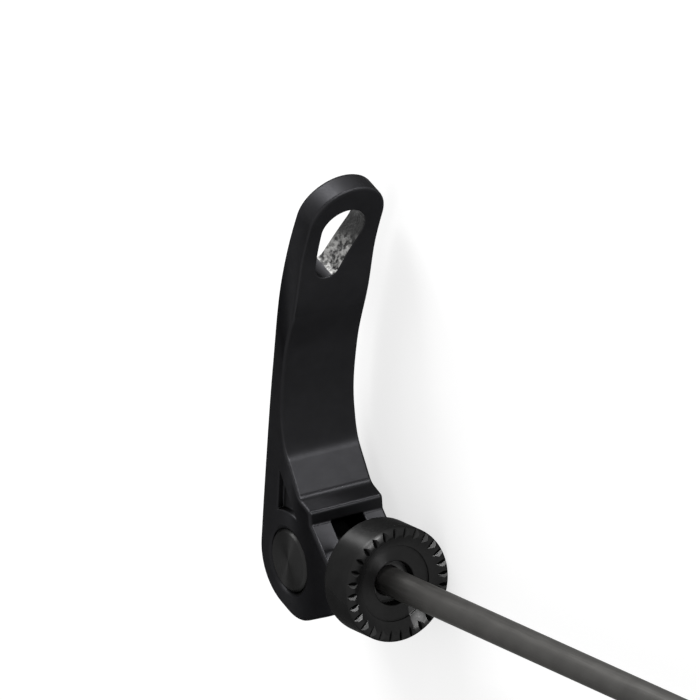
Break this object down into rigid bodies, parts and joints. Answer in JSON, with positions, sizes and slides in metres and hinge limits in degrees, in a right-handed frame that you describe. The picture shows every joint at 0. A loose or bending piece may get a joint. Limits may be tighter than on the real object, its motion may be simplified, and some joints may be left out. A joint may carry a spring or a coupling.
{
  "type": "quick release skewer",
  "caption": "Wheel skewer with a forked cam lever on a cross pin, a notched clamp cap, a round rod, conical springs and a screw-on adjusting nut.",
  "frame": {"origin": "on the rod's axis, in the clamp plane of the cap's notched rim", "axes": "+X along the rod toward the adjusting nut, +Y up the closed lever, +Z along the cross pin; the skewer lies on its side with the lever flat"},
  "size_m": [0.1975, 0.0814, 0.0204],
  "materials": {
    "lever_black": "glossy black coat on cast alloy",
    "pin_steel": "dark matte steel",
    "rod_steel": "dark satin steel",
    "cap_steel": "black satin steel",
    "seat_plastic": "matte black plastic",
    "nut_alloy": "satin black alloy",
    "lock_plastic": "pale plastic",
    "spring_steel": "bright spring wire"
  },
  "bodies": {
    "rod": {"skewer_rod": "rod_steel", "pivot_pin": "pin_steel", "lever_spring": "spring_steel"},
    "lever": {"lever": "lever_black"},
    "cap": {"clamp_cap": "cap_steel", "cam_seat": "seat_plastic"},
    "nut_carriage": {"nut_spring": "spring_steel"},
    "nut": {"adjusting_nut": "nut_alloy", "lock_ring": "lock_plastic"}
  },
  "joints": [
    {"name": "lever_swing", "type": "hinge", "parent": "rod", "child": "lever", "pos_m": [-0.0244, 0, 0], "axis": [0, 0, 1], "range_deg": [0, 180]},
    {"name": "cap_slide", "type": "slide", "parent": "rod", "child": "cap", "axis": [1, 0, 0], "range_m": [-0.0036, 0]},
    {"name": "nut_travel", "type": "slide", "parent": "rod", "child": "nut_carriage", "axis": [1, 0, 0], "range_m": [-0.0064, 0.0064]},
    {"name": "nut_turn", "type": "hinge", "parent": "nut_carriage", "child": "nut", "pos_m": [0.156, 0, 0], "axis": [1, 0, 0], "range_deg": [-2880, 2880]}
  ],
  "couplings": [
    {"joint": "cap_slide", "follows": "lever_swing", "m_per_rad": -0.001145},
    {"joint": "nut_turn", "follows": "nut_travel", "rad_per_m": 7854}
  ]
}
